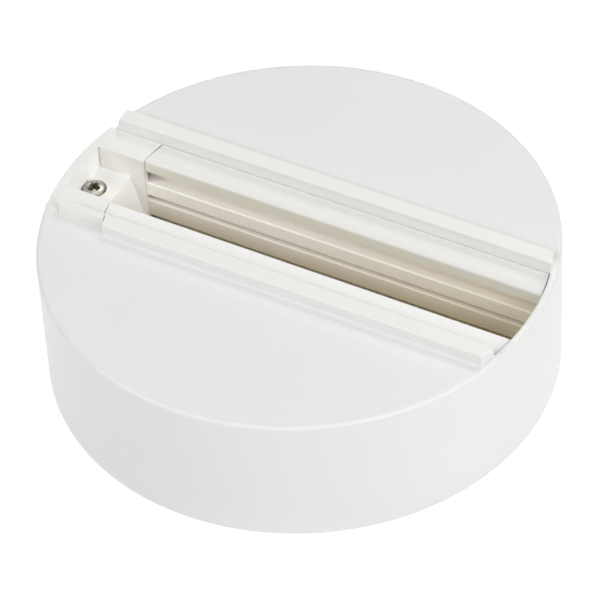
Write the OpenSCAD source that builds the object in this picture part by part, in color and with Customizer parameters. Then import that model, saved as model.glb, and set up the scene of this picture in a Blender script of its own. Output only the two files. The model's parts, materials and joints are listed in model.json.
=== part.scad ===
// Round surface canopy with a short three circuit track across its face.
// It lies on its open rim: +Z points at the slotted face, and X runs along the slot.

/* [Canopy] */
// Outer diameter of the cover
canopy_d = 130; // [126:1:140]
// Height from the rim to the slotted face
canopy_h = 37; // [36:0.5:44]
// Thickness of the round wall
wall_t = 1.8; // [1.5:0.1:2.4]
// Thickness of the slotted face
face_t = 2; // [1.6:0.1:2.6]
// Rounding of the face's outer edge
edge_r = 1; // [0.4:0.1:1.4]

/* [Slot and ridges] */
// Width of the slot between the two ridges
slot_w = 31.7; // [31:0.1:33]
// Width of each ridge
ridge_w = 4.3; // [3.5:0.1:5]
// Height of the ridges above the face
ridge_h = 3.1; // [1.5:0.1:4]
// Distance from the outline to the ridge ends
ridge_inset = 1.6; // [1.2:0.1:2.4]
// Distance from the outline to the end of the end piece's ridge
end_ridge_inset = 4.4; // [3.6:0.1:5]
// Distance from the outline to the foot of the far ridge's wired end
notch_inset = 4; // [3.6:0.1:4.2]
// Depth of the notch in the rim beside that end, below the face
notch_drop = 2.1; // [1:0.1:2.4]
// Thickness of the two ribs under the slot's edges
well_t = 1.8; // [1.4:0.1:2.2]
// How far those ribs reach below the face
well_drop = 21; // [17:0.5:22]

/* [Track body] */
// Width of the opening between the lips
lip_gap = 17; // [16:0.1:18]
// Thickness of the lips
lip_t = 3.8; // [3:0.1:4.2]
// Depth of the lips below the face
lip_drop = 0.6; // [0.2:0.1:1]
// Rounding of the lips' upper edges
lip_r = 1; // [0.4:0.1:1.4]
// Height of the channel section
track_h = 28.4; // [27.8:0.1:29.4]
// Thickness of the channel's side walls
track_wall = 1.7; // [1.4:0.1:2]
// Thickness of the channel's web
track_web = 2; // [1.5:0.1:2.4]
// Distance from the outline to the channel's wired end
track_inset = 15.5; // [15:0.1:17]
// Radius of the curve that both ends of the channel follow
track_end_r = 61.3; // [58:0.1:64]

/* [Insulators and conductors] */
// Height of the groove under each lip
groove_h = 3.8; // [3.2:0.1:4.2]
// Height of the rib between the two grooves
rib_h = 4.3; // [3.6:0.1:4.6]
// Height of the lower, narrow groove
slit_h = 1.6; // [1.2:0.1:2]
// Depth of the groove under each lip, from the rib faces
groove_depth = 3.4; // [3:0.1:3.6]
// Depth of the narrow groove, from the rib faces
slit_depth = 2.8; // [2.4:0.1:3]
// Width of a conductor bar
bar_w = 2.4; // [2.2:0.1:2.6]
// Thickness of a conductor bar
bar_t = 1; // [0.8:0.1:1.2]
// Width of the earth strip
earth_w = 12; // [8:0.5:14]
// Thickness of the earth strip
earth_t = 0.8; // [0.5:0.1:1]

/* [End piece] */
// Width of the recess for the screw
recess_w = 16; // [15:0.1:16.4]
// Distance from the outline to the recess's outer wall
recess_inset = 2.8; // [2.3:0.1:3]
// Depth of the recess below the lips
recess_depth = 6.8; // [5:0.1:8]
// Distance from the outline to the top of the ramp
ramp_inset = 11.7; // [11:0.1:12]
// Depth of the ramp's foot below the lips
ramp_depth = 19.1; // [15:0.1:20]
// Thickness of the end piece's walls
end_wall = 1.5; // [1.2:0.1:1.6]
// Height of the skirt that closes the cover's wall
skirt_h = 11.4; // [8:0.1:14]
// Width of the ridge that the end piece carries
end_ridge_w = 3.2; // [2.6:0.1:3.4]
// Rounding of the end piece's outer edge
end_edge_r = 0.4; // [0.2:0.1:0.9]

/* [Retaining screw] */
// Distance from the outline to the screw
screw_inset = 5.7; // [5.6:0.1:6.4]
// Thread diameter of the screw
screw_d = 3.5; // [3:0.1:3.6]
// Diameter of the screw's head
screw_head_d = 6.1; // [5.8:0.1:6.6]
// Height of the screw's head
screw_head_h = 2.2; // [1.8:0.1:2.6]
// Thread engagement in the pillar
screw_grip = 10; // [6:0.5:12]
// Outer diameter of the pillar
pillar_d = 6.5; // [6:0.1:7]
// Height of the pillar above the strap
pillar_h = 20; // [16:0.5:21]

/* [Mounting strap] */
// Width of the strap
strap_w = 24; // [20:0.5:26]
// Thickness of the strap
strap_t = 1.5; // [1.2:0.1:2]
// Distance between the two slotted holes
hole_spacing = 60; // [50:1:64]
// Width of the slotted holes
hole_w = 4.5; // [4:0.1:5.5]
// Length of the slotted holes
hole_l = 14; // [8:0.5:16]
// Width of the tongue that hooks into the track body
tongue_w = 10; // [8:0.5:12]

/* [Terminal block] */
// Number of poles
poles = 5; // [5:1:5]
// Distance from pole to pole
pole_pitch = 6; // [5.8:0.1:6]
// Room between the rib and the block for the supply cores
block_room = 10.3; // [9:0.1:12]
// Length of the block along its brass tubes
block_l = 16; // [14:0.5:18]
// Height of the block
block_h = 12.5; // [12:0.5:14]
// Outer diameter of the brass tubes
tube_d = 4.6; // [4.4:0.1:4.8]
// Bore of the brass tubes
tube_bore = 3.2; // [3:0.1:3.4]

/* [Small screws and leads] */
// Shank diameter of the tapping screws
tap_d = 2.9; // [2.5:0.1:3.2]
// Head diameter of the tapping screws
tap_head_d = 5.6; // [5:0.1:6]
// Head height of the tapping screws
tap_head_h = 2; // [1.6:0.1:2.2]
// Diameter of the insulated leads
lead_d = 2.4; // [2:0.1:2.5]

/* [Clearances] */
// Gap round the track body and under the end piece
fit = 0.2; // [0.15:0.05:0.3]
// Gap between the channel's wired end and the end piece
end_gap = 0.15; // [0.1:0.05:0.25]
// Gap between pieces that are pushed together
snug = 0.1; // [0.05:0.05:0.15]
// Gap between the strap and the plane of the rim
rim_gap = 0.3; // [0.1:0.1:0.6]

/* [Hidden] */
$fn = 96;

// Cuts run this far past a face, and fused forms overlap by as much
over = 0.5;
// Running gap of a screw in its thread, and of a screw in a plain hole
thread_gap = 0.05;
hole_gap = 0.25;
// Cross recess of the screws, as a share of the head, and its depth
cross_share = 0.6;
cross_depth = 1.2;
// Bevel on the tapping screws' heads, and rise of the retaining screw's domed head
head_bevel = 0.6;
head_dome = 1.1;

canopy_r = canopy_d / 2;
inner_r = canopy_r - wall_t;
under_z = canopy_h - face_t;
slot_half = slot_w / 2;
ridge_out = slot_half + ridge_w;
ridge_top = canopy_h + ridge_h;
ridge_end_r = canopy_r - ridge_inset;
end_ridge_r = canopy_r - end_ridge_inset;
notch_x = canopy_r - notch_inset;
notch_z = canopy_h - notch_drop;
ridge_draft = 0.8;
well_z = canopy_h - well_drop;

lip_top = canopy_h - lip_drop;
lip_bottom = lip_top - lip_t;
lip_half = lip_gap / 2;
track_half = slot_half - fit;
channel_half = track_half - track_wall;
track_z = lip_top - track_h;
web_top = track_z + track_web;
track_far_r = inner_r - fit;
track_reach = canopy_r - track_inset;
// Centre of the curve at the channel's wired end
end_cx = track_end_r - track_reach;

// Heights of the insulator's steps, from the lip down
strip_top = lip_bottom - snug;
rib_top = lip_bottom - groove_h;
slit_top = rib_top - rib_h;
slit_bottom = slit_top - slit_h;
strip_bottom = web_top + snug;
strip_back = channel_half - snug;
groove_back = lip_half + groove_depth;
slit_back = lip_half + slit_depth;
strip_wall = 1.3;
// Pocket that holds a conductor bar, and the lip that keeps the bar in
pocket_h = bar_w + 2 * snug;
pocket_d = bar_t + snug;
pocket_lip = 0.35;
groove_mid = (strip_top + rib_top) / 2;
slit_mid = (slit_top + slit_bottom) / 2;
// Tails of the conductors past the channel's wired end
upper_tail = track_reach + 4.5;
lower_tail = track_reach + 1.5;
bar_end = inner_r - 3.2;
// The grooves start on a slant, and a tab behind them reaches further
strip_start = track_reach - 0.6;
strip_slant = 1.3;
strip_tab = lower_tail - snug;

recess_z = lip_top - recess_depth;
ramp_z = lip_top - ramp_depth;
ramp_land = 0.5;
ramp_start = canopy_r - ramp_inset;
ramp_end = track_reach + ramp_land;
recess_reach = canopy_r - recess_inset;
screw_reach = canopy_r - screw_inset;
skirt_z = lip_top - skirt_h;
end_floor = 2;
end_plate = 2;
end_half = slot_half - snug;
screw_seat = 1.2;
seat_gap = 0.2;
boss_wall = 1.8;
ledge_w = 1.45;
ledge_z = lip_bottom - 0.6;
ledge_from = canopy_r - 5;
ledge_to = ledge_from - 8;
// Plan of the joint across the near ridge
joint_inner = track_reach - 3.9;
joint_outer = joint_inner - 1.2;
joint_gap = 0.3;
end_ridge_out = slot_half + end_ridge_w;

strap_z = rim_gap;
strap_top = strap_z + strap_t;
pillar_top = strap_top + pillar_h;
strap_end_r = inner_r - 0.5;
// Loop under the web, the tongue's play in it, and its floor
catch_x = canopy_r - 15;
catch_t = 2.5;
catch_half = tongue_w / 2 + 3;
catch_play = 0.4;
catch_floor = 1.1;
// The tongue lies under the web, and its step up ends before the loop
tongue_z = track_z - catch_play - strap_t;
tongue_rise = tongue_z - strap_z;
tongue_to = catch_x + 7;
strap_turn = catch_x - catch_play - tongue_rise;
strap_end = strap_turn - 1.5;
// Offset between the two sides of the bent sheet
bend_back = strap_t * tan(22.5);

ear_x = 30;
ear_l = 10;
ear_t = 2.5;
boss_r = tap_d / 2 + 1.9;
boss_y = slot_half + well_t + boss_r - 0.35;
ear_top = track_z + 7.2;
ear_z = ear_top - ear_t;
ear_out = boss_y + boss_r + 0.5;
tap_reach = 8;

block_half = poles * pole_pitch / 2 + snug;
block_y = slot_half + well_t + block_room + block_l / 2;
block_z = under_z - block_h;
tube_z = block_z + 6;
tube_l = block_l - 1;
clamp_offset = tube_l / 2 - 3.5;
clamp_d = 3;
clamp_head_d = 3.8;
clamp_head_h = 2;
clamp_slot_w = 0.7;
pole_groove = 0.8;
pole_groove_depth = 3;
block_ear_t = 2.5;
block_ear_top = under_z - 5.5;
block_ear_w = 7;
block_screw_x = block_half + boss_r + snug;
block_ear_out = block_screw_x + block_ear_w / 2 - 0.6;

earth_x = 13;
earth_y = max(strap_w / 2, slot_half) + screw_head_d / 2 + fit;
earth_tab_w = 10;
lug_t = 0.8;
lead_r = lead_d / 2;
lead_sides = 8;
lead_steps = 3;
lead_entry = 3;

// Outline of the cover up to a level, with its rounded upper edge
module outline(top, r, round_r = edge_r) {
    rotate_extrude()
        polygon(concat([[0, 0], [r, 0]],
            [for (a = [0 : 15 : 90])
                [r - round_r + round_r * cos(a), top - round_r + round_r * sin(a)]],
            [[0, top]]));
}

// Box between two values along each axis
module span(x, y, z) {
    translate([x[0], y[0], z[0]])
        cube([x[1] - x[0], y[1] - y[0], z[1] - z[0]]);
}

// Notch in the rim at the far ridge's wired end, and the slope of that end
module far_notch() {
    translate([0, ridge_out + over, 0])
        rotate([90, 0, 0])
            linear_extrude(height = ridge_w + over)
                polygon([[-canopy_r - 1, notch_z], [-notch_x, notch_z], [-notch_x, canopy_h],
                    [-notch_x + ridge_draft, ridge_top], [-notch_x + ridge_draft, ridge_top + over],
                    [-canopy_r - 1, ridge_top + over]]);
}

// Everything beyond the curve at the channel's wired end, moved by a gap
module past_track_end(gap, z) {
    difference() {
        span([-canopy_r - 1, 0], [-canopy_r, canopy_r], z);
        translate([end_cx, 0, z[0] - 1])
            cylinder(r = track_end_r + gap, h = z[1] - z[0] + 2);
    }
}

// Strip along the near ridge, left of the joint in it
module near_strip(y, z, gap) {
    translate([0, 0, z[0]])
        linear_extrude(height = z[1] - z[0])
            polygon([[-canopy_r - 1, -y[0]], [-canopy_r - 1, -y[1]],
                [-joint_x(y[1]) - gap, -y[1]], [-joint_x(y[0]) - gap, -y[0]]]);
}

function joint_x(y) = joint_inner
    + (joint_outer - joint_inner) * (y - slot_half) / ridge_w;

module shell_cup() {
    difference() {
        outline(canopy_h, canopy_r);
        translate([0, 0, -under_z - over])
            outline(2 * under_z + over, inner_r);
    }
}

module ridge(side) {
    intersection() {
        translate([0, 0, canopy_h - over])
            cylinder(r = ridge_end_r, h = ridge_h + over);
        span([-canopy_r, canopy_r],
            side > 0 ? [slot_half, ridge_out] : [-ridge_out, -slot_half],
            [canopy_h - over, ridge_top]);
    }
}

module well_rib(side) {
    intersection() {
        cylinder(r = inner_r + over, h = canopy_h);
        span([-canopy_r, canopy_r],
            side > 0 ? [slot_half, slot_half + well_t] : [-slot_half - well_t, -slot_half],
            [well_z, under_z + over]);
    }
}

// Ledge that the end piece stands on
module end_ledge(side) {
    y = side * (slot_half - ledge_w / 2 + over / 2);
    translate([-(ledge_from + ledge_to) / 2, y, ledge_z - end_wall / 2])
        cube([ledge_from - ledge_to, ledge_w + over, end_wall], center = true);
}

module shell_bosses() {
    for (sx = [-1, 1], sy = [-1, 1])
        translate([sx * ear_x, sy * boss_y, ear_top])
            cylinder(r = boss_r, h = under_z - ear_top + over);
    for (sx = [-1, 1])
        translate([sx * block_screw_x, -block_y, block_ear_top])
            cylinder(r = boss_r, h = under_z - block_ear_top + over);
}

module shell_pilots() {
    for (sx = [-1, 1], sy = [-1, 1])
        translate([sx * ear_x, sy * boss_y, ear_top - over])
            cylinder(d = tap_d, h = tap_reach + over + 1);
    for (sx = [-1, 1])
        translate([sx * block_screw_x, -block_y, block_ear_top - over])
            cylinder(d = tap_d, h = under_z - block_ear_top + over);
}

module canopy_shell() {
    color("white")
        difference() {
            union() {
                shell_cup();
                ridge(1);
                ridge(-1);
                well_rib(1);
                well_rib(-1);
                end_ledge(1);
                end_ledge(-1);
                shell_bosses();
            }
            // The slot stops at the round wall on one side
            intersection() {
                span([-canopy_r, canopy_r], [-slot_half, slot_half],
                    [ledge_z + end_wall, ridge_top + over]);
                cylinder(r = inner_r, h = ridge_top + 1);
            }
            span([-canopy_r - 1, -ledge_from - over], [-slot_half, slot_half],
                [skirt_z - fit, ridge_top + over]);
            near_strip([slot_half - over, end_ridge_out + snug],
                [lip_top - end_plate - fit, ridge_top + over], 0);
            near_strip([end_ridge_out + snug, ridge_out + over], [canopy_h, ridge_top + over], 0);
            far_notch();
            shell_pilots();
        }
}

// Half of the channel section: side wall, web and lip
module channel_half_section() {
    polygon(concat([[0, track_z], [track_half, track_z], [track_half, lip_top]],
        [for (a = [90 : 15 : 180])
            [lip_half + lip_r + lip_r * cos(a), lip_top - lip_r + lip_r * sin(a)]],
        [[lip_half, lip_bottom], [channel_half, lip_bottom], [channel_half, web_top],
            [0, web_top]]));
}

// Turns a section drawn in Y and Z into a bar along X
module along_x(from, to) {
    translate([from, 0, 0])
        rotate([90, 0, 90])
            linear_extrude(height = to - from)
                children();
}

module track_ear(sx, sy) {
    difference() {
        translate([sx * ear_x, sy * (track_half - over + ear_out) / 2, (ear_z + ear_top) / 2])
            cube([ear_l, ear_out - track_half + over, ear_t], center = true);
        translate([sx * ear_x, sy * boss_y, ear_z - 1])
            cylinder(d = tap_d + 2 * hole_gap, h = ear_t + 2);
    }
}

// Loop under the web that takes the strap's tongue
module tongue_catch() {
    difference() {
        span([catch_x, catch_x + catch_t], [-catch_half, catch_half],
            [tongue_z - catch_play - catch_floor, track_z + over]);
        span([catch_x - 1, catch_x + catch_t + 1],
            [-tongue_w / 2 - catch_play, tongue_w / 2 + catch_play],
            [tongue_z - catch_play, track_z + 2 * over]);
    }
}

module track_body() {
    color("whitesmoke") {
        difference() {
            intersection() {
                along_x(-canopy_r, canopy_r)
                    union() {
                        channel_half_section();
                        mirror([1, 0]) channel_half_section();
                    }
                cylinder(r = track_far_r, h = ridge_top);
            }
            past_track_end(0, [0, ridge_top]);
        }
        for (sx = [-1, 1], sy = [-1, 1])
            track_ear(sx, sy);
        tongue_catch();
    }
}

// Pocket in a groove's back for a conductor bar, with a narrower mouth
function pocket(back, mid) = [[back, mid + bar_w / 2 - pocket_lip],
    [back + pocket_lip, mid + bar_w / 2 - pocket_lip],
    [back + pocket_lip, mid + pocket_h / 2],
    [back + pocket_lip + pocket_d, mid + pocket_h / 2],
    [back + pocket_lip + pocket_d, mid - pocket_h / 2],
    [back + pocket_lip, mid - pocket_h / 2],
    [back + pocket_lip, mid - bar_w / 2 + pocket_lip],
    [back, mid - bar_w / 2 + pocket_lip]];

module strip_section() {
    polygon(concat(
        [[strip_back, strip_top], [groove_back, strip_top]],
        pocket(groove_back, groove_mid),
        [[groove_back, rib_top], [lip_half, rib_top], [lip_half, slit_top],
            [slit_back, slit_top], [slit_back, slit_mid + pocket_h / 2],
            [slit_back + pocket_d, slit_mid + pocket_h / 2],
            [slit_back + pocket_d, slit_mid - pocket_h / 2],
            [slit_back, slit_mid - pocket_h / 2], [slit_back, slit_bottom],
            [lip_half, slit_bottom], [lip_half, strip_bottom], [strip_back, strip_bottom],
            [strip_back, strip_bottom + strip_wall],
            [lip_half + strip_wall, strip_bottom + strip_wall],
            [lip_half + strip_wall, slit_bottom - 2 * strip_wall],
            [strip_back, slit_bottom - 2 * strip_wall]]));
}

module insulator() {
    intersection() {
        along_x(-canopy_r, canopy_r)
            strip_section();
        cylinder(r = track_far_r, h = ridge_top);
        linear_extrude(height = ridge_top)
            polygon([[-strip_start, lip_half - over], [-strip_start, lip_half],
                [-strip_start + strip_slant, groove_back], [-strip_tab, groove_back],
                [-strip_tab, strip_back + over], [canopy_r, strip_back + over],
                [canopy_r, lip_half - over]]);
    }
}

module insulator_far() {
    color("ivory") insulator();
}

module insulator_near() {
    color("ivory") mirror([0, 1, 0]) insulator();
}

// Conductor bar, from its tail at the wired end to the far end
module bar(tail, back, mid) {
    span([-tail, bar_end], [back, back + bar_t], [mid - bar_w / 2, mid + bar_w / 2]);
}

upper_bar_y = groove_back + pocket_lip + snug / 2;
lower_bar_y = slit_back + snug / 2;

module conductor_line_1() {
    color("peru") mirror([0, 1, 0]) bar(upper_tail, upper_bar_y, groove_mid);
}

module conductor_line_2() {
    color("peru") mirror([0, 1, 0]) bar(lower_tail, lower_bar_y, slit_mid);
}

module conductor_line_3() {
    color("peru") bar(upper_tail, upper_bar_y, groove_mid);
}

module conductor_neutral() {
    color("peru") bar(lower_tail, lower_bar_y, slit_mid);
}

module earth_strip() {
    color("darkkhaki")
        span([-track_reach + snug, bar_end], [-earth_w / 2, earth_w / 2], [web_top, web_top + earth_t]);
}

// Side view of the recess: outer wall, floor and ramp
module recess_profile() {
    polygon([[-recess_reach, ridge_top], [-recess_reach, recess_z], [-ramp_start, recess_z],
        [-ramp_end, ramp_z], [-ramp_end + 2, ramp_z], [-ramp_end + 2, ridge_top]]);
}

// The same, one wall further out
module tub_profile() {
    polygon([[-recess_reach - end_wall, lip_top - over],
        [-recess_reach - end_wall, recess_z - end_floor],
        [-ramp_start - end_wall / 2, recess_z - end_floor],
        [-ramp_end - end_wall / 2, ramp_z - end_floor],
        [-ramp_end + 2, ramp_z - end_floor], [-ramp_end + 2, lip_top - over]]);
}

// Turns a side view drawn in X and Z into a slab of a given width
module across_y(width) {
    translate([0, width / 2, 0])
        rotate([90, 0, 0])
            linear_extrude(height = width)
                children();
}

module end_block() {
    // The plate reaches over the cover's rib on the near side
    intersection() {
        outline(lip_top, canopy_r, end_edge_r);
        past_track_end(end_gap, [lip_top - end_plate, lip_top]);
        span([-canopy_r, 0], [-slot_half - over, end_half], [0, lip_top]);
    }
    intersection() {
        outline(lip_top, canopy_r, end_edge_r);
        union() {
            difference() {
                past_track_end(end_gap, [skirt_z, lip_top]);
                cylinder(r = inner_r, h = ridge_top);
            }
            // Feet on the cover's ledges
            for (sy = [-1, 1])
                translate([-(ledge_from + ledge_to) / 2,
                    sy * (track_half - (ledge_w - fit) / 2), (ledge_z + lip_top) / 2 - over])
                    cube([ledge_from - ledge_to - 1, ledge_w - fit, lip_top - ledge_z - 2 * over],
                        center = true);
            intersection() {
                across_y(recess_w + 2 * end_wall)
                    tub_profile();
                past_track_end(end_gap, [0, lip_top]);
            }
        }
        span([-canopy_r, 0], [-end_half, end_half], [0, lip_top]);
    }
}

// Part of the near ridge that belongs to the end piece
module end_ridge() {
    intersection() {
        outline(canopy_h, canopy_r, end_edge_r);
        near_strip([slot_half, end_ridge_out], [lip_top - end_plate, canopy_h], joint_gap);
    }
    intersection() {
        cylinder(r = end_ridge_r, h = ridge_top);
        near_strip([slot_half, end_ridge_out], [canopy_h - over, ridge_top], joint_gap);
    }
}

module feed_end_piece() {
    color("snow")
        difference() {
            union() {
                end_block();
                end_ridge();
                translate([-screw_reach, 0, pillar_top])
                    cylinder(d = screw_d + 2 * boss_wall, h = recess_z - pillar_top - over);
            }
            across_y(recess_w)
                recess_profile();
            translate([-screw_reach, 0, 0])
                cylinder(d = screw_d + 2 * hole_gap, h = lip_top);
            translate([-screw_reach, 0, recess_z - screw_seat])
                cylinder(d = screw_head_d + 2 * seat_gap, h = lip_top);
        }
}

module cross_recess(size, depth) {
    for (a = [0, 90])
        rotate([0, 0, a])
            cube([size, size / 4, 2 * depth], center = true);
}

// Pan head: a short round wall under a dome
module domed_head() {
    rise_z = screw_head_h - head_dome;
    rotate_extrude()
        polygon(concat([[0, 0], [screw_head_d / 2, 0]],
            [for (a = [0 : 15 : 90]) [screw_head_d / 2 * cos(a), rise_z + head_dome * sin(a)]]));
}

module retaining_screw() {
    head_z = recess_z - screw_seat;
    color("silver")
        translate([-screw_reach, 0, 0])
            difference() {
                union() {
                    translate([0, 0, pillar_top - screw_grip])
                        cylinder(d = screw_d - 2 * thread_gap, h = head_z - pillar_top + screw_grip + 0.1);
                    translate([0, 0, head_z])
                        domed_head();
                }
                translate([0, 0, head_z + screw_head_h])
                    rotate([0, 0, 25])
                        cross_recess(screw_head_d * cross_share, cross_depth);
            }
}

module screw_pillar() {
    color("gainsboro")
        translate([-screw_reach, 0, 0])
            difference() {
                union() {
                    translate([0, 0, strap_top])
                        cylinder(d = pillar_d, h = pillar_h);
                    translate([0, 0, strap_z])
                        cylinder(d = pillar_d / 2, h = strap_t + 0.1);
                }
                translate([0, 0, pillar_top - screw_grip - 2])
                    cylinder(d = screw_d, h = screw_grip + 3);
            }
}

module strap_slot(x) {
    for (sx = [-1, 1])
        translate([x + sx * (hole_l - hole_w) / 2, 0, 0])
            cylinder(d = hole_w, h = canopy_h);
    translate([x - (hole_l - hole_w) / 2, -hole_w / 2, 0])
        cube([hole_l - hole_w, hole_w, canopy_h]);
}

module strap_leaf(x, y) {
    translate([0, (y[0] + y[1]) / 2, 0])
        across_y(y[1] - y[0])
            polygon([[x[0], strap_z], [x[1], strap_z], [x[1], strap_top], [x[0], strap_top]]);
}

module strap_plate() {
    intersection() {
        strap_leaf([-canopy_r, strap_end], [-strap_w / 2, strap_w / 2]);
        cylinder(r = strap_end_r, h = canopy_h);
    }
    strap_leaf([earth_x - earth_tab_w / 2, earth_x + earth_tab_w / 2],
        [-earth_y - earth_tab_w / 2, -strap_w / 2 + over]);
    // Step up to the tongue
    across_y(tongue_w)
        polygon([[strap_end - over, strap_z], [strap_turn, strap_z],
            [strap_turn + tongue_rise, tongue_z], [tongue_to, tongue_z],
            [tongue_to, tongue_z + strap_t],
            [strap_turn + tongue_rise - bend_back, tongue_z + strap_t],
            [strap_turn - bend_back, strap_top], [strap_end - over, strap_top]]);
}

module mounting_strap() {
    color("lightsteelblue")
        difference() {
            strap_plate();
            strap_slot(-hole_spacing / 2);
            strap_slot(hole_spacing / 2);
            translate([-screw_reach, 0, 0])
                cylinder(d = pillar_d / 2 + 2 * thread_gap, h = canopy_h);
            translate([earth_x, -earth_y, 0])
                cylinder(d = screw_d, h = canopy_h);
        }
}

function pole_x(i) = (i - (poles - 1) / 2) * pole_pitch;

module at_poles() {
    for (i = [0 : poles - 1])
        translate([pole_x(i), -block_y, tube_z])
            children();
}

module at_clamps() {
    at_poles()
        for (sy = [-1, 1])
            translate([0, sy * clamp_offset, 0])
                children();
}

module terminal_block() {
    color("lightgray")
        difference() {
            union() {
                span([-block_half, block_half], [-block_y - block_l / 2, -block_y + block_l / 2],
                    [block_z, under_z]);
                span([-block_ear_out, block_ear_out],
                    [-block_y - block_ear_w / 2, -block_y + block_ear_w / 2],
                    [block_ear_top - block_ear_t, block_ear_top]);
            }
            at_poles()
                rotate([90, 0, 0])
                    cylinder(d = tube_d + 2 * snug, h = block_l + 1, center = true);
            at_clamps()
                translate([0, 0, block_z - tube_z - 1])
                    cylinder(d = clamp_head_d + 2 * snug, h = tube_z - block_z + 1);
            // Grooves between the poles
            for (i = [0 : poles - 2])
                translate([pole_x(i) + pole_pitch / 2, -block_y, block_z])
                    cube([pole_groove, block_l + 2, 2 * pole_groove_depth], center = true);
            for (sx = [-1, 1])
                translate([sx * block_screw_x, -block_y, 0])
                    cylinder(d = tap_d + 2 * hole_gap, h = block_ear_top + over);
        }
}

module terminal_tubes() {
    color("goldenrod")
        difference() {
            at_poles()
                rotate([90, 0, 0])
                    difference() {
                        cylinder(d = tube_d, h = tube_l, center = true);
                        cylinder(d = tube_bore, h = tube_l + 1, center = true);
                    }
            at_clamps()
                translate([0, 0, -tube_d])
                    cylinder(d = clamp_d, h = tube_d);
        }
}

module terminal_screws() {
    head_top = -tube_d / 2 - snug;
    tip = -lead_r - snug;
    color("silver")
        at_clamps()
            difference() {
                union() {
                    translate([0, 0, head_top - 0.1])
                        cylinder(d = clamp_d - 2 * thread_gap, h = tip - head_top + 0.1);
                    translate([0, 0, head_top - clamp_head_h])
                        cylinder(d = clamp_head_d, h = clamp_head_h);
                }
                translate([0, 0, head_top - clamp_head_h])
                    cube([clamp_head_d + 1, clamp_slot_w, 0.8 * clamp_head_h], center = true);
            }
}

// Pan head tapping screw that points up, with its head below z = 0
module tapping_screw(reach) {
    difference() {
        union() {
            translate([0, 0, -0.1])
                cylinder(d = tap_d - 2 * thread_gap, h = reach + 0.1);
            translate([0, 0, -tap_head_h + head_bevel])
                cylinder(d = tap_head_d, h = tap_head_h - head_bevel);
            translate([0, 0, -tap_head_h])
                cylinder(d1 = tap_head_d - 2 * head_bevel, d2 = tap_head_d, h = head_bevel);
        }
        translate([0, 0, -tap_head_h])
            cross_recess(tap_head_d * cross_share, cross_depth);
    }
}

module track_screws() {
    color("silver")
        for (sx = [-1, 1], sy = [-1, 1])
            translate([sx * ear_x, sy * boss_y, ear_z])
                tapping_screw(tap_reach + ear_t);
}

module block_screws() {
    color("silver")
        for (sx = [-1, 1])
            translate([sx * block_screw_x, -block_y, block_ear_top - block_ear_t])
                tapping_screw(block_ear_t + under_z - block_ear_top - 1);
}

// Points of a smooth line: each corner of the route becomes a curve between its midpoints
function mid(a, b) = (a + b) / 2;
function bend(a, b, c, t) = (1 - t) * (1 - t) * mid(a, b) + 2 * t * (1 - t) * b + t * t * mid(b, c);
function smooth(p) = concat([p[0]],
    [for (i = [1 : len(p) - 2], k = [0 : lead_steps])
        if (k < lead_steps || i == len(p) - 2) bend(p[i - 1], p[i], p[i + 1], k / lead_steps)],
    [p[len(p) - 1]]);
function unit(v) = v / norm(v);
function heading(p, i) = unit(p[min(i + 1, len(p) - 1)] - p[max(i - 1, 0)]);
// Each ring's first direction is the last ring's, turned square to the new heading
function turned(n, h) = unit(n - (n * h) * h);
function normals(p, n, i = 0) = i == len(p) ? []
    : let (m = turned(n, heading(p, i))) concat([m], normals(p, m, i + 1));

module lead(route, start) {
    p = smooth(route);
    n = normals(p, start);
    rings = [for (i = [0 : len(p) - 1], k = [0 : lead_sides - 1])
        let (a = 360 * k / lead_sides, s = cross(heading(p, i), n[i]))
        p[i] + lead_r * (cos(a) * n[i] + sin(a) * s)];
    last = (len(p) - 1) * lead_sides;
    faces = concat(
        [[for (k = [0 : lead_sides - 1]) k]],
        [for (i = [0 : len(p) - 2], k = [0 : lead_sides - 1])
            let (q = (k + 1) % lead_sides, b = i * lead_sides)
            [b + k, b + k + lead_sides, b + q + lead_sides, b + q]],
        [[for (k = [lead_sides - 1 : -1 : 0]) last + k]]);
    polyhedron(points = rings, faces = faces, convexity = 6);
}

// Where the leads drop behind the wired end, and how high they pass under the rib
outer_drop_x = -canopy_r + 7.4;
inner_drop_x = -canopy_r + 10.8;
earth_drop_x = -strip_tab - lead_r - fit;
gate_z = well_z - lead_d;
low_z = strap_top + 5.4;
lowest_z = strap_top + 2.6;
upper_y = upper_bar_y + bar_t / 2;
lower_y = lower_bar_y + bar_t / 2;
// The leads run behind the block, each below the one before it, and turn into its outer side
run_y = -block_y - block_l / 2 - 8;
mouth_y = block_l / 2 - lead_entry;
function run_z(i) = tube_z - 1 - 3.5 * i;
function into_pole(i) = [[pole_x(i) - 10, run_y, run_z(i)],
    [pole_x(i), run_y - 2, (run_z(i) + tube_z) / 2],
    [pole_x(i), run_y + 3.5, tube_z], [pole_x(i), -block_y - mouth_y, tube_z]];

module lead_line_1() {
    color("saddlebrown")
        lead(concat([[-upper_tail - snug, -upper_y, groove_mid], [outer_drop_x, -upper_y, groove_mid],
            [outer_drop_x, -upper_y, 20], [outer_drop_x, -upper_y, gate_z], [-56, -21, gate_z],
            [-50, -33, 17], [-38, -46, 23]], into_pole(0)), [0, 1, 0]);
}

module lead_line_2() {
    color("black")
        lead(concat([[-lower_tail - snug, -lower_y, slit_mid], [inner_drop_x, -lower_y, slit_mid],
            [inner_drop_x, -lower_y, 18], [inner_drop_x, -lower_y, gate_z], [-52, -20, gate_z],
            [-47, -31, 14.5], [-36, -44, 19.5]], into_pole(1)), [0, 1, 0]);
}

module lead_earth() {
    z = web_top + earth_t / 2;
    color("yellowgreen")
        lead(concat([[-track_reach - snug, 0, z], [earth_drop_x, 0, z], [earth_drop_x, -9, z],
            [earth_drop_x, -19, z], [-45, -29, 11.5], [-34, -42, 16]], into_pole(2)), [0, 0, 1]);
}

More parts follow.
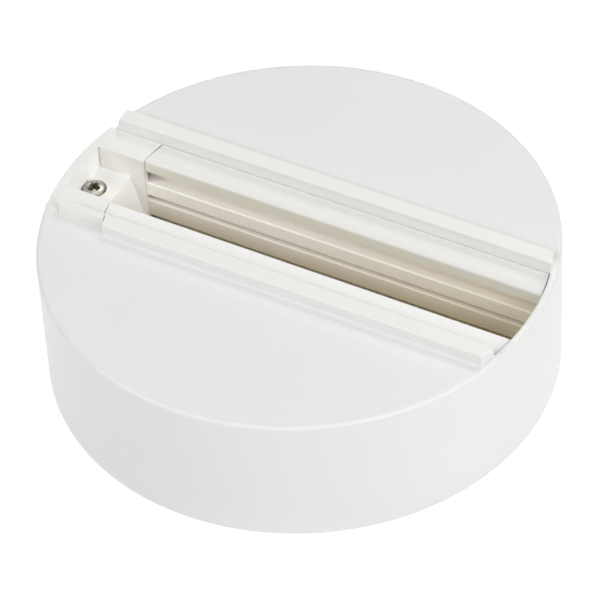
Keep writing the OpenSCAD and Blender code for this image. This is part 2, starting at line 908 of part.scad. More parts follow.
module lead_neutral() {
    color("royalblue")
        lead(concat([[-lower_tail - snug, lower_y, slit_mid], [inner_drop_x, lower_y, slit_mid],
            [inner_drop_x, lower_y, 16], [inner_drop_x, lower_y, low_z], [-53.4, 2, low_z],
            [-53.4, -14, low_z], [-50, -27, low_z], [-43, -36, 8.7],
            [-32, -45, 12.5]], into_pole(3)), [0, 1, 0]);
}

module lead_line_3() {
    color("gray")
        lead(concat([[-upper_tail - snug, upper_y, groove_mid], [outer_drop_x, upper_y, groove_mid],
            [outer_drop_x, upper_y, 16], [outer_drop_x, upper_y, lowest_z], [-53.4, 7, lowest_z],
            [-53.4, -8, lowest_z], [-54, -22, lowest_z], [-46, -38, 4.9],
            [-32, -48, 8.5]], into_pole(4)), [0, 1, 0]);
}

// The lug's upright crimp end, where the earth lead joins it
crimp_t = 0.8;
lug_z = strap_top + lug_t + lead_r + fit;
lug_y = -earth_y - 4.6;

module strap_earth_lead() {
    color("yellowgreen")
        lead([[pole_x(2), -block_y + mouth_y, tube_z], [pole_x(2), -25, tube_z], [pole_x(2), -22.5, 20],
            [4, -24, 10], [earth_x, -31, lug_z], [earth_x, lug_y - 3, lug_z],
            [earth_x, lug_y - snug, lug_z]], [1, 0, 0]);
}

module earth_lug() {
    color("silver")
        difference() {
            union() {
                translate([earth_x, -earth_y, strap_top])
                    cylinder(d = screw_head_d + 0.8, h = lug_t);
                span([earth_x - lead_r, earth_x + lead_r], [lug_y, -earth_y],
                    [strap_top, strap_top + lug_t]);
                span([earth_x - lead_r, earth_x + lead_r], [lug_y, lug_y + crimp_t],
                    [strap_top, lug_z + lead_r]);
            }
            translate([earth_x, -earth_y, 0])
                cylinder(d = screw_d, h = canopy_h);
        }
}

module earth_screw() {
    color("silver")
        translate([earth_x, -earth_y, strap_top + lug_t])
            difference() {
                union() {
                    translate([0, 0, -lug_t - strap_t])
                        cylinder(d = screw_d - 2 * thread_gap, h = lug_t + strap_t + 0.1);
                    cylinder(d = screw_head_d, h = screw_head_h);
                }
                translate([0, 0, screw_head_h])
                    cross_recess(screw_head_d * cross_share, cross_depth);
            }
}

canopy_shell();
track_body();
insulator_far();
insulator_near();
conductor_line_1();
conductor_line_2();
conductor_line_3();
conductor_neutral();
earth_strip();
feed_end_piece();
retaining_screw();
screw_pillar();
mounting_strap();
terminal_block();
terminal_tubes();
terminal_screws();
block_screws();
track_screws();
lead_line_1();
lead_line_2();
lead_line_3();
lead_neutral();
lead_earth();
strap_earth_lead();
earth_lug();
earth_screw();
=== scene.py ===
import bpy
import json
import math
from mathutils import Matrix, Vector

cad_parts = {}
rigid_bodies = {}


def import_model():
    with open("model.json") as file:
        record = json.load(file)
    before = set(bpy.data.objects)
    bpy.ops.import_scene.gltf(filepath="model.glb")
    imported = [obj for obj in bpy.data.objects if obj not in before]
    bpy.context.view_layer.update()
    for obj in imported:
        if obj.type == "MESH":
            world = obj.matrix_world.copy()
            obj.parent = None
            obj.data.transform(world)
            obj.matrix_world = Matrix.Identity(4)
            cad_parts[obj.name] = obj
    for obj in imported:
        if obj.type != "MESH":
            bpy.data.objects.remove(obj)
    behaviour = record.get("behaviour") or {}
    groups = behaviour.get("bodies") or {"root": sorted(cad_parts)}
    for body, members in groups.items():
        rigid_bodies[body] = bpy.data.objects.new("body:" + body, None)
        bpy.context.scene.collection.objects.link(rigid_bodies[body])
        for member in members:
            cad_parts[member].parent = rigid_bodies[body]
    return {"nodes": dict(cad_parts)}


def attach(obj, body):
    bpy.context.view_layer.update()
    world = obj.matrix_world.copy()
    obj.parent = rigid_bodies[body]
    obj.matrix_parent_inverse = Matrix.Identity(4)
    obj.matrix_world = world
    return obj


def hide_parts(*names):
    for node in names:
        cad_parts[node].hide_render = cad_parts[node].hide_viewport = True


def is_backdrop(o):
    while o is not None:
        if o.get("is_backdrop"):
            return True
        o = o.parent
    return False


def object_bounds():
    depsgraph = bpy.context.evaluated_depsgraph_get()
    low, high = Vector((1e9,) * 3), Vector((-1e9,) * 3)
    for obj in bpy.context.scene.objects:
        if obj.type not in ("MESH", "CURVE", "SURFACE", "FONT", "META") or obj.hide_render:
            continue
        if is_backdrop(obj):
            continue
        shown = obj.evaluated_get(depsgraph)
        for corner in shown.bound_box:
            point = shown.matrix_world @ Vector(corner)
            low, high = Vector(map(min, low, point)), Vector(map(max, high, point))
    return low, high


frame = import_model()
cadBox = [list(corner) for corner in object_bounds()]
scene = bpy.context.scene
mm = 0.001
hair = 0.02  # mm that a form is sunk or held back, so that no two faces share a plane
snap = 0.01  # mm within which a point lies on a line
past, under, over, above = 70, -5, 45, 50  # mm, past the wall, under the rim and over the ridges, for tools
merge = {"turned": 0.004, "mirrored": 0.002, "copied": 0.001, "cuts": 0.003, "flatDegrees": 0.3}  # mm but the last
bothSides = (-1, 1)


# modelling steps

def freshStart():
    if bpy.context.object and bpy.context.object.mode != "OBJECT":
        bpy.ops.object.mode_set(mode="OBJECT")
    bpy.ops.object.select_all(action="DESELECT")


def settle(name):
    piece = bpy.context.active_object
    piece.name = name
    piece.data.name = name
    bpy.ops.object.transform_apply(location=True, rotation=True, scale=True)
    return piece


def pick(piece):
    freshStart()
    piece.select_set(True)
    bpy.context.view_layer.objects.active = piece
    return piece


def editAll(piece):
    # edit mode, with the whole mesh selected
    pick(piece)
    bpy.ops.object.mode_set(mode="EDIT")
    bpy.ops.mesh.select_mode(type="VERT")
    bpy.ops.mesh.select_all(action="SELECT")
    return piece


def weld(distance):
    # in edit mode: merges points that lie this near, in mm, and turns all faces outwards
    bpy.ops.mesh.select_all(action="SELECT")
    bpy.ops.mesh.remove_doubles(threshold=distance * mm)
    bpy.ops.mesh.normals_make_consistent(inside=False)


def slab(name, x, y, z):
    # rectangular bar between two values along each axis, in mm
    freshStart()
    middle = [(side[0] + side[1]) / 2 * mm for side in (x, y, z)]
    lengths = [(side[1] - side[0]) * mm for side in (x, y, z)]
    bpy.ops.mesh.primitive_cube_add(size=1, location=middle, scale=lengths)
    return settle(name)


def drum(name, radius, z, at=(0, 0), sides=256):
    # round bar along z
    freshStart()
    middle = (at[0] * mm, at[1] * mm, (z[0] + z[1]) / 2 * mm)
    bpy.ops.mesh.primitive_cone_add(vertices=sides, radius1=radius * mm, radius2=radius * mm,
                                    depth=(z[1] - z[0]) * mm, location=middle)
    return settle(name)


def lift(pair, plane, level):
    # a corner of an outline, as a point in space
    a, b = pair[0] * mm, pair[1] * mm
    return Vector({"yz": (level * mm, a, b), "xz": (a, level * mm, b), "xy": (a, b, level * mm)}[plane])


def drawLine(name, corners, plane, level):
    # one point, extruded from corner to corner; it stays in edit mode with all selected
    freshStart()
    bpy.ops.mesh.primitive_plane_add(size=mm)
    piece = settle(name)
    bpy.ops.object.mode_set(mode="EDIT")
    bpy.ops.mesh.select_mode(type="VERT")
    bpy.ops.mesh.select_all(action="SELECT")
    bpy.ops.mesh.merge(type="CENTER")
    bpy.ops.transform.translate(value=lift(corners[0], plane, level))
    for here, there in zip(corners, corners[1:]):
        step = lift(there, plane, level) - lift(here, plane, level)
        bpy.ops.mesh.extrude_vertices_move(TRANSFORM_OT_translate={"value": step})
    bpy.ops.mesh.select_all(action="SELECT")
    return piece


def traced(name, corners, plane, span):
    # outline filled and pulled to its length
    piece = drawLine(name, corners, plane, span[0])
    bpy.ops.mesh.edge_face_add()
    pull = lift((0, 0), plane, span[1]) - lift((0, 0), plane, span[0])
    bpy.ops.mesh.extrude_region_move(TRANSFORM_OT_translate={"value": pull})
    bpy.ops.mesh.select_all(action="SELECT")
    bpy.ops.mesh.normals_make_consistent(inside=False)
    bpy.ops.object.mode_set(mode="OBJECT")
    return piece


def turned(name, corners, at, sides):
    # half profile, radius and height, spun round an upright line
    piece = drawLine(name, corners, "xz", 0)
    bpy.ops.mesh.spin(steps=sides, angle=math.tau, center=(0, 0, 0), axis=(0, 0, 1))
    weld(merge["turned"])
    bpy.ops.transform.translate(value=(at[0] * mm, at[1] * mm, 0))
    bpy.ops.object.mode_set(mode="OBJECT")
    return piece


def combine(piece, other, how, solver):
    pick(piece)
    step = piece.modifiers.new(how.lower(), "BOOLEAN")
    step.operation = how
    step.solver = solver
    step.object = other
    bpy.ops.object.modifier_apply(modifier=step.name)
    bpy.data.objects.remove(other, do_unlink=True)
    return piece


def cut(piece, other, solver="EXACT"):
    return combine(piece, other, "DIFFERENCE", solver)


def join(piece, other, solver="EXACT"):
    return combine(piece, other, "UNION", solver)


def keepInside(piece, other, solver="EXACT"):
    return combine(piece, other, "INTERSECT", solver)


def twin(piece, name):
    pick(piece)
    bpy.ops.object.duplicate()
    copy = bpy.context.active_object
    copy.name = name
    copy.data.name = name
    return copy


def mirrored(piece, name):
    # the same form on the other side of the slot's middle
    copy = editAll(twin(piece, name))
    bpy.ops.transform.resize(value=(1, -1, 1), center_override=(0, 0, 0))
    weld(merge["mirrored"])
    bpy.ops.object.mode_set(mode="OBJECT")
    return copy


def edgesWhere(piece, test):
    # marks the edges whose two ends pass a test, in mm, ready for an edit operator
    pick(piece)
    bpy.ops.object.mode_set(mode="EDIT")
    bpy.ops.mesh.select_mode(type="EDGE")
    bpy.ops.mesh.select_all(action="DESELECT")
    bpy.ops.object.mode_set(mode="OBJECT")
    points = [corner.co / mm for corner in piece.data.vertices]
    for edge in piece.data.edges:
        edge.select = test(points[edge.vertices[0]], points[edge.vertices[1]])
    bpy.ops.object.mode_set(mode="EDIT")


def atHeight(z):
    # test for the edges of a level rim
    return lambda p, q: abs(p.z - z) < snap and abs(q.z - z) < snap


def roundEdges(piece, test, width, segments):
    edgesWhere(piece, test)
    bpy.ops.mesh.bevel(offset=width * mm, segments=segments, affect="EDGES")
    bpy.ops.object.mode_set(mode="OBJECT")
    return piece


def clean(piece):
    # merges the points and flat faces that the cuts left double
    editAll(piece)
    bpy.ops.mesh.remove_doubles(threshold=merge["cuts"] * mm)
    bpy.ops.mesh.dissolve_limited(angle_limit=math.radians(merge["flatDegrees"]))
    bpy.ops.object.mode_set(mode="OBJECT")


def soften(piece, width, segments=2, angle=40, smooth=32):
    # rounds every sharp edge a little and evens the shading
    clean(piece)
    if width:
        edge = piece.modifiers.new("soft edges", "BEVEL")
        edge.width = width * mm
        edge.segments = segments
        edge.limit_method = "ANGLE"
        edge.angle_limit = math.radians(angle)
        edge.use_clamp_overlap = False
        edge.miter_outer = "MITER_ARC"
        bpy.ops.object.modifier_apply(modifier=edge.name)
    pick(piece)
    bpy.ops.object.shade_smooth_by_angle(angle=math.radians(smooth))
    even = piece.modifiers.new("even shading", "WEIGHTED_NORMAL")
    even.keep_sharp = True
    even.weight = 80
    bpy.ops.object.modifier_apply(modifier=even.name)
    return piece


def dress(piece, finish, node):
    piece.data.materials.clear()
    piece.data.materials.append(finish)
    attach(piece, "root")
    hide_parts(node)
    return piece


# materials

def newFinish(name):
    finish = bpy.data.materials.new(name)
    finish.use_nodes = True
    tree = finish.node_tree
    shader = tree.nodes["Principled BSDF"]
    place = tree.nodes.new("ShaderNodeTexCoord")
    return finish, tree, shader, place


def noise(tree, place, scale, detail, rough, stretch):
    stretcher = tree.nodes.new("ShaderNodeMapping")
    stretcher.inputs["Scale"].default_value = stretch
    pattern = tree.nodes.new("ShaderNodeTexNoise")
    pattern.inputs["Scale"].default_value = scale
    pattern.inputs["Detail"].default_value = detail
    pattern.inputs["Roughness"].default_value = rough
    tree.links.new(place.outputs["Object"], stretcher.inputs["Vector"])
    tree.links.new(stretcher.outputs["Vector"], pattern.inputs["Vector"])
    return pattern


def tint(tree, pattern, low, high, spread=(0.3, 0.7)):
    ramp = tree.nodes.new("ShaderNodeValToRGB")
    for end, spot, colour in zip(ramp.color_ramp.elements, spread, (low, high)):
        end.position = spot
        end.color = (*colour, 1)
    tree.links.new(pattern.outputs["Fac"], ramp.inputs["Fac"])
    return ramp


def steady(tree, pattern, low, high):
    # brings a pattern between two values
    spread = tree.nodes.new("ShaderNodeMapRange")
    spread.inputs["To Min"].default_value = low
    spread.inputs["To Max"].default_value = high
    tree.links.new(pattern.outputs["Fac"], spread.inputs["Value"])
    return spread


def relief(tree, shader, pattern, strength, depth):
    bump = tree.nodes.new("ShaderNodeBump")
    bump.inputs["Strength"].default_value = strength
    bump.inputs["Distance"].default_value = depth * mm
    tree.links.new(pattern.outputs["Fac"], bump.inputs["Height"])
    tree.links.new(bump.outputs["Normal"], shader.inputs["Normal"])
    return bump


def surface(name, look, cloudNoise, grainNoise, metal):
    # colour in soft clouds and a fine grain; a metal's gloss follows the clouds, a plastic's the grain
    finish, tree, shader, place = newFinish(name)
    stretch = look.get("stretch", (1, 1, 1))
    cloud = noise(tree, place, look["cloudScale"], *cloudNoise, stretch)
    grain = noise(tree, place, look["grainScale"], *grainNoise, stretch)
    colour = tint(tree, cloud, look["low"], look["high"])
    gloss = steady(tree, cloud if metal else grain, *look["gloss"])
    tree.links.new(colour.outputs["Color"], shader.inputs["Base Color"])
    tree.links.new(gloss.outputs["Result"], shader.inputs["Roughness"])
    relief(tree, shader, grain, look["relief"], look["depth"])
    if metal:
        shader.inputs["Metallic"].default_value = 1.0
    return finish, shader


def mouldedPlastic(name, look):
    finish, shader = surface(name, look, (3, 0.5), (2, 0.6), False)
    shader.inputs["IOR"].default_value = 1.46
    shader.inputs["Specular IOR Level"].default_value = look.get("shine", 0.35)
    return finish


def platedMetal(name, look):
    return surface(name, look, (5, 0.6), (3, 0.6), True)[0]


plasticLooks = {
    "coverWhite": {"low": (0.862, 0.862, 0.852), "high": (0.874, 0.874, 0.865), "cloudScale": 18,
                   "grainScale": 2600, "gloss": (0.27, 0.33), "relief": 0.06, "depth": 0.02, "shine": 0.5},
    "profileWhite": {"low": (0.862, 0.858, 0.832), "high": (0.874, 0.87, 0.845), "cloudScale": 25,
                     "grainScale": 900, "gloss": (0.3, 0.38), "relief": 0.06, "depth": 0.02,
                     "stretch": (0.06, 1, 1), "shine": 0.45},
    "endWhite": {"low": (0.966, 0.963, 0.94), "high": (0.974, 0.971, 0.948), "cloudScale": 30,
                 "grainScale": 2200, "gloss": (0.3, 0.38), "relief": 0.06, "depth": 0.02, "shine": 0.45},
    "stripIvory": {"low": (0.96, 0.942, 0.898), "high": (0.97, 0.952, 0.908), "cloudScale": 40,
                   "grainScale": 1400, "gloss": (0.26, 0.36), "relief": 0.1, "depth": 0.02,
                   "stretch": (0.03, 1, 1), "shine": 0.5},
    "blockGrey": {"low": (0.50, 0.51, 0.52), "high": (0.54, 0.55, 0.56), "cloudScale": 60,
                  "grainScale": 2400, "gloss": (0.45, 0.6), "relief": 0.15, "depth": 0.02},
}
sleeveLook = {"cloudScale": 90, "grainScale": 1800, "gloss": (0.35, 0.45), "relief": 0.08, "depth": 0.02}
sleeveColours = {  # darker and lighter colour of each sleeve
    "sleeveBrown": ((0.16, 0.07, 0.035), (0.19, 0.085, 0.045)),
    "sleeveBlack": ((0.012, 0.012, 0.013), (0.02, 0.02, 0.021)),
    "sleeveGrey": ((0.22, 0.23, 0.235), (0.25, 0.26, 0.265)),
    "sleeveBlue": ((0.03, 0.10, 0.42), (0.04, 0.12, 0.47)),
    "sleeveEarth": ((0.05, 0.26, 0.07), (0.06, 0.30, 0.085)),
}
plasticLooks.update({name: {"low": low, "high": high, **sleeveLook} for name, (low, high) in sleeveColours.items()})
metalLooks = {
    "zincPlate": {"low": (0.60, 0.62, 0.64), "high": (0.72, 0.73, 0.74), "cloudScale": 140,
                  "grainScale": 900, "gloss": (0.28, 0.42), "relief": 0.12, "depth": 0.02,
                  "stretch": (0.25, 1, 1)},
    "screwSteel": {"low": (0.50, 0.49, 0.46), "high": (0.66, 0.65, 0.62), "cloudScale": 500,
                   "grainScale": 2500, "gloss": (0.16, 0.28), "relief": 0.1, "depth": 0.01},
    "headSteel": {"low": (0.34, 0.33, 0.30), "high": (0.60, 0.59, 0.56), "cloudScale": 700,
                  "grainScale": 2500, "gloss": (0.28, 0.45), "relief": 0.4, "depth": 0.03},
    "barCopper": {"low": (0.62, 0.30, 0.17), "high": (0.74, 0.40, 0.25), "cloudScale": 120,
                  "grainScale": 1200, "gloss": (0.25, 0.38), "relief": 0.1, "depth": 0.02,
                  "stretch": (0.05, 1, 1)},
    "turnedBrass": {"low": (0.66, 0.48, 0.20), "high": (0.76, 0.57, 0.27), "cloudScale": 150,
                    "grainScale": 1500, "gloss": (0.22, 0.34), "relief": 0.1, "depth": 0.01},
    "tinnedCopper": {"low": (0.66, 0.66, 0.64), "high": (0.76, 0.75, 0.73), "cloudScale": 200,
                     "grainScale": 1500, "gloss": (0.25, 0.36), "relief": 0.1, "depth": 0.01},
}
paintedLightAndShade = [  # painted light and shade: finish, axis, from and to in mm, the colour that takes over there, and its share
    # painted highlight: the ridge tops are lighter than the rest of the cover
    ("coverWhite", "Z", (39.85, 40.05), (0.922, 0.922, 0.893), 1),
    # painted light: the near half of the channel profile, with the near lip, is lighter
    ("profileWhite", "Y", (0, -8), (0.955, 0.95, 0.93), 1),
    # painted shade: below the lips' top the channel profile is darker and warmer, as in the channel's shade
    ("profileWhite", "Z", (36.1, 34.6), (0.84, 0.825, 0.72), 0.9),
    # painted shade: the far wall of the recess is darker
    ("endWhite", "Y", (7.6, 8), (0.895, 0.882, 0.845), 1),
    # painted light and shade: the end piece's top is darker than its recess walls and floor, which keep the lighter
    # colour
    ("endWhite", "Z", (35.9, 36.3), (0.915, 0.908, 0.875), 0.9),
    # painted shade: the strips are darker and olive lower down in the channel
    ("stripIvory", "Z", (24.6, 17.4), (0.71, 0.67, 0.56), 1),
    # painted shade: the strips are darker and yellower towards the closed end of the slot
    ("stripIvory", "X", (-10, 75), (0.80, 0.70, 0.45), 0.52),
    # painted shade: the screw is dark below the crown's top, in the cross recess, round the head's rim and down the
    # shank
    ("headSteel", "Z", (30.2, 29.8), (0.22, 0.205, 0.14), 1),
]


def rising(tree, source, low, high):
    # goes from 0 to 1 as its source goes from low to high
    spread = tree.nodes.new("ShaderNodeMapRange")
    spread.inputs["From Min"].default_value = low
    spread.inputs["From Max"].default_value = high
    tree.links.new(source, spread.inputs["Value"])
    return spread.outputs["Result"]


def mixIn(finish, colour, amount):
    # mixes a second colour into a finish; amount is given the tree and its coordinates
    tree = finish.node_tree
    shader = tree.nodes["Principled BSDF"]
    place = next(node for node in tree.nodes if node.type == "TEX_COORD")
    source = shader.inputs["Base Color"].links[0].from_socket
    mix = tree.nodes.new("ShaderNodeMixRGB")
    mix.inputs["Color2"].default_value = (*colour, 1)
    tree.links.new(amount(tree, place.outputs["Object"]), mix.inputs["Fac"])
    tree.links.new(source, mix.inputs["Color1"])
    tree.links.new(mix.outputs["Color"], shader.inputs["Base Color"])


def alongAxis(axis, span, share):
    def amount(tree, place):
        split = tree.nodes.new("ShaderNodeSeparateXYZ")
        part = tree.nodes.new("ShaderNodeMath")
        part.operation = "MULTIPLY"
        part.inputs[1].default_value = share
        tree.links.new(place, split.inputs[0])
        tree.links.new(rising(tree, split.outputs[axis], span[0] * mm, span[1] * mm), part.inputs[0])
        return part.outputs[0]
    return amount


def slantedBands(scale, edge):
    def amount(tree, place):
        bands = tree.nodes.new("ShaderNodeTexWave")
        bands.bands_direction = "DIAGONAL"
        bands.inputs["Scale"].default_value = scale
        tree.links.new(place, bands.inputs["Vector"])
        return rising(tree, bands.outputs["Fac"], *edge)
    return amount


finishes = {name: mouldedPlastic(name, look) for name, look in plasticLooks.items()}
finishes.update({name: platedMetal(name, look) for name, look in metalLooks.items()})
# mixes the painted light and shade into the finishes
for name, axis, span, colour, share in paintedLightAndShade:
    mixIn(finishes[name], colour, alongAxis(axis, span, share))
mixIn(finishes["sleeveEarth"], (0.72, 0.58, 0.05), slantedBands(90, (0.55, 0.6)))
print("finishes made:", len(finishes))


# round cover

cover = {"radius": 65, "height": 37, "wall": 1.8, "face": 2, "edge": 1, "footEdge": 0.35, "round": 0.2,
         "slotHalf": 15.85, "slotLow": 14, "ribIn": 14.85, "ribOut": 17.65, "ribLow": 16, "ribRoot": 0.7,
         "ridgeOut": 20.15, "ridgeTop": 40.1, "ridgeRoot": 0.8, "ridgeEnd": 63.4, "ridgeRound": (0.2, 0.27),
         "joint": (45.6, 1.2, 4.3), "jointSpan": (15, 21), "ledge": (-60, -52), "ledgeIn": 14.4, "ledgeZ": (30.5, 32),
         "root": 0.5, "deepRoot": 0.6, "bossRadius": 3.35, "pilot": 1.45, "pilotDepth": 9, "pilotStop": 0.4,
         "earX": 30, "bossY": 20.65, "earTop": 15.2, "blockScrewX": 18.55, "blockY": -35.95, "blockEarTop": 29.5,
         "wayX": -60.5, "wayZ": 24.8, "rebate": (15.35, 17.83), "rebateZ": 34.2,
         "farEnd": (-61, -60.2), "farEndLow": 34.9, "slopeStart": -80}


def jointAt(y):
    # where the joint crosses the near ridge, as in the part's source
    x, lean, width = cover["joint"]
    return x - lean * (y - cover["slotHalf"]) / width


def coverRidge(side):
    # ridge beside the slot; it reaches a hair past the slot's wall
    c = cover
    ys = sorted((side * (c["slotHalf"] - hair), side * c["ridgeOut"]))
    ridge = slab("ridge", (-past, past), ys, (c["height"] - c["ridgeRoot"], c["ridgeTop"]))
    keepInside(ridge, drum("ridgeEnds", c["ridgeEnd"], (30, over)))
    if side > 0:
        start, end = c["farEnd"][0] + hair, c["farEnd"][1]
        slope = [(c["slopeStart"], 30), (start, 30), (start, c["height"]), (end, c["ridgeTop"]), (end + 0.1, over),
                 (c["slopeStart"], over)]
        cut(ridge, traced("slope", slope, "xz", (10, 30)))
    else:
        low, high = c["jointSpan"]
        joint = [(hair - jointAt(low), -low), (hair - jointAt(high), -high), (-past, -high), (-past, -low)]
        cut(ridge, traced("jointFace", joint, "xy", (30, over)))
    return soften(ridge, c["ridgeRound"][side > 0], 3)


def addBoss(body, spot, low, pilotTop):
    # round boss under the face, with the pilot hole of its screw
    c = cover
    boss = drum("boss", c["bossRadius"], (low, c["height"] - c["face"] + c["deepRoot"]), spot, 48)
    cut(boss, drum("pilot", c["pilot"], (low - 1, pilotTop), spot, 32))
    join(body, boss)


def buildCover():
    c = cover
    half, root = c["slotHalf"], c["root"]
    inside = c["radius"] - c["wall"]
    ceiling = c["height"] - c["face"]
    body = drum("canopyCover", c["radius"], (0, c["height"]))
    roundEdges(body, atHeight(c["height"]), c["edge"], 6)
    roundEdges(body, atHeight(0), c["footEdge"], 3)
    hollow = drum("hollow", inside, (under, ceiling))
    roundEdges(hollow, atHeight(ceiling), c["edge"], 5)
    cut(body, hollow)
    for side in bothSides:
        rib = slab("rib", (-past, past), sorted((side * c["ribIn"], side * c["ribOut"])),
                   (c["ribLow"], ceiling + c["ribRoot"]))
        keepInside(rib, drum("ribEnds", inside + c["deepRoot"], (10, over)))
        join(body, rib)
    slot = slab("slot", (-past, past), (-half, half), (c["slotLow"], over))
    keepInside(slot, drum("slotEnds", inside, (5, above)))
    cut(body, slot)
    # the wired end: a way through the round wall, and the rim lowered beside the far ridge
    cut(body, slab("way", (-past, c["wayX"]), (-half, half), (c["wayZ"], over)))
    cut(body, slab("lowRim", (-past, c["farEnd"][0]), (half - 1, c["ridgeOut"] + root), (c["farEndLow"], over)))
    low, high = c["rebate"]
    rebate = [(-past, -low), (-jointAt(low), -low), (-jointAt(high), -high), (-past, -high)]
    cut(body, traced("rebate", rebate, "xy", (c["rebateZ"], over)))
    for side in bothSides:
        ys = sorted((side * c["ledgeIn"], side * (half + root)))
        join(body, slab("ledge", c["ledge"], ys, c["ledgeZ"]))
    for sideX in bothSides:
        for sideY in bothSides:
            addBoss(body, (sideX * c["earX"], sideY * c["bossY"]), c["earTop"], c["earTop"] + c["pilotDepth"])
    for sideX in bothSides:
        addBoss(body, (sideX * c["blockScrewX"], c["blockY"]), c["blockEarTop"], ceiling - c["pilotStop"])
    soften(body, c["round"], 3)
    ridges = [coverRidge(side) for side in bothSides]
    for ridge in ridges:
        join(body, ridge)
    soften(body, 0)
    return dress(body, finishes["coverWhite"], "canopy_shell")


buildCover()
print("round cover done")


# track channel

channel = {"half": 15.65, "inner": 13.95, "lipHalf": 8.5, "lipTop": 36.4, "lipLow": 32.6, "low": 8,
           "web": 10, "reach": 66, "farRadius": 62.85, "endRadius": 61.3, "endCentre": 11.8,
           "lipRound": (0.35, 1), "lipSteps": range(90, 181, 15), "round": 0.18, "root": 0.5,
           "earX": 30, "earHalf": 5, "earOut": 24.5, "earZ": (12.7, 15.2), "bossY": 20.65, "hole": 1.7,
           "catchX": (50, 52.5), "catchHalf": 8, "catchZ": 4.6, "window": (5.4, 5.7, 10)}


def channelOutline(side):
    # one half of the profile, from the lip's top down to the web; the near lip has the sharper edge
    c = channel
    edge = c["lipRound"][side > 0]
    arc = [(side * (c["lipHalf"] + edge * (1 + math.cos(math.radians(a)))),
            c["lipTop"] - edge * (1 - math.sin(math.radians(a)))) for a in c["lipSteps"]]
    return [(side * c["half"], c["lipTop"]), *arc, (side * c["lipHalf"], c["lipLow"]),
            (side * c["inner"], c["lipLow"]), (side * c["inner"], c["web"])]


def buildChannel():
    c = channel
    nearHalf, farHalf = channelOutline(-1), channelOutline(1)
    outline = [(c["half"], c["low"])] + farHalf + nearHalf[::-1] + [(-c["half"], c["low"])]
    body = traced("trackChannel", outline, "yz", (-c["reach"], c["reach"]))
    keepInside(body, drum("farEnd", c["farRadius"], (under, above)))
    keepInside(body, drum("wiredEnd", c["endRadius"], (under, above), (c["endCentre"], 0)))
    for sideX in bothSides:
        for sideY in bothSides:
            xs = (sideX * c["earX"] - c["earHalf"], sideX * c["earX"] + c["earHalf"])
            ear = slab("ear", xs, sorted((sideY * (c["half"] - c["root"]), sideY * c["earOut"])), c["earZ"])
            cut(ear, drum("earHole", c["hole"], (5, 20), (sideX * c["earX"], sideY * c["bossY"]), 32))
            join(body, ear)
    catch = slab("catch", c["catchX"], (-c["catchHalf"], c["catchHalf"]), (c["catchZ"], c["low"] + c["root"]))
    wide, low, high = c["window"]
    cut(catch, slab("window", (40, 60), (-wide, wide), (low, high)))
    join(body, catch)
    soften(body, c["round"])
    return dress(body, finishes["profileWhite"], "track_body")


buildChannel()
print("track channel done")


# insulators

strip = {"back": 13.85, "top": 32.5, "grooveBack": 11.9, "ribTop": 28.8, "face": 8.5, "slitTop": 24.5,
         "slitBack": 11.3, "slitLow": 22.9, "low": 10.1, "wall": 1.3, "pocketLip": 0.35, "pocket": 1.1,
         "barHalf": 1.2, "pocketHalf": 1.3, "shade": (14.2, 17.8, 3.4), "foot": 4.5,
         "drawn": (-60, 66), "farRadius": 63, "start": -49.2, "slant": 1.3, "tab": -50.6, "tabFace": 9.4,
         "ribRound": 0.5, "slitRound": 0.25, "lowRound": 0.4, "round": 0.15}


def stripOutline():
    # half profile: the conductor groove, the slit, the shallow groove that shades, and the foot
    s = strip
    back, face, groove, slit = s["back"], s["face"], s["grooveBack"], s["slitBack"]
    grooveMid, slitMid = (s["top"] + s["ribTop"]) / 2, (s["slitTop"] + s["slitLow"]) / 2
    mouth, half = s["barHalf"] - s["pocketLip"], s["pocketHalf"]
    edge = groove + s["pocketLip"]
    deep, slitDeep = edge + s["pocket"], slit + s["pocket"]
    upper = [(groove, grooveMid + mouth), (edge, grooveMid + mouth), (edge, grooveMid + half),
             (deep, grooveMid + half), (deep, grooveMid - half), (edge, grooveMid - half),
             (edge, grooveMid - mouth), (groove, grooveMid - mouth)]
    lower = [(slit, s["slitTop"]), (slit, slitMid + half), (slitDeep, slitMid + half),
             (slitDeep, slitMid - half), (slit, slitMid - half), (slit, s["slitLow"])]
    shadeLow, shadeTop, shadeDeep = s["shade"]
    shadow = [(face, shadeTop), (face + shadeDeep, shadeTop), (face + shadeDeep, shadeLow), (face, shadeLow)]
    footIn, footLow, footTop = face + s["foot"], s["low"] + s["wall"], s["slitLow"] - 2 * s["wall"]
    return [(back, s["top"]), (groove, s["top"]), *upper, (groove, s["ribTop"]), (face, s["ribTop"]),
            (face, s["slitTop"]), *lower, (face, s["slitLow"]), *shadow, (face, s["low"]), (back, s["low"]),
            (back, footLow), (footIn, footLow), (footIn, footTop), (back, footTop)]


def faceEdge(z):
    # test for a lengthwise edge of the strip's face
    face = strip["face"]
    return lambda p, q: (abs(p.y - face) + abs(q.y - face) < 2 * snap
                         and abs(p.z - z) + abs(q.z - z) < 2 * snap)


def buildInsulators():
    s = strip
    farStrip = traced("insulatorFar", stripOutline(), "yz", s["drawn"])
    keepInside(farStrip, drum("stripEnd", s["farRadius"], (under, above)))
    # seen from above: the slant at the wired end, then the tab
    share = (s["tabFace"] - s["face"]) / (s["grooveBack"] - s["face"])
    front, rear = s["face"] - 2, s["back"] + 2
    plan = [(s["start"], front), (s["start"], s["face"]), (s["start"] + share * s["slant"], s["tabFace"]),
            (s["tab"], s["tabFace"]), (s["tab"], rear), (past, rear), (past, front)]
    keepInside(farStrip, traced("slant", plan, "xy", (0, over)))
    roundEdges(farStrip, faceEdge(s["ribTop"]), s["ribRound"], 4)
    roundEdges(farStrip, faceEdge(s["slitTop"]), s["slitRound"], 3)
    roundEdges(farStrip, faceEdge(s["slitLow"]), s["lowRound"], 4)
    soften(farStrip, s["round"])
    nearStrip = mirrored(farStrip, "insulatorNear")
    soften(nearStrip, 0)
    dress(farStrip, finishes["stripIvory"], "insulator_far")
    dress(nearStrip, finishes["stripIvory"], "insulator_near")


buildInsulators()
print("insulators done")


# end piece

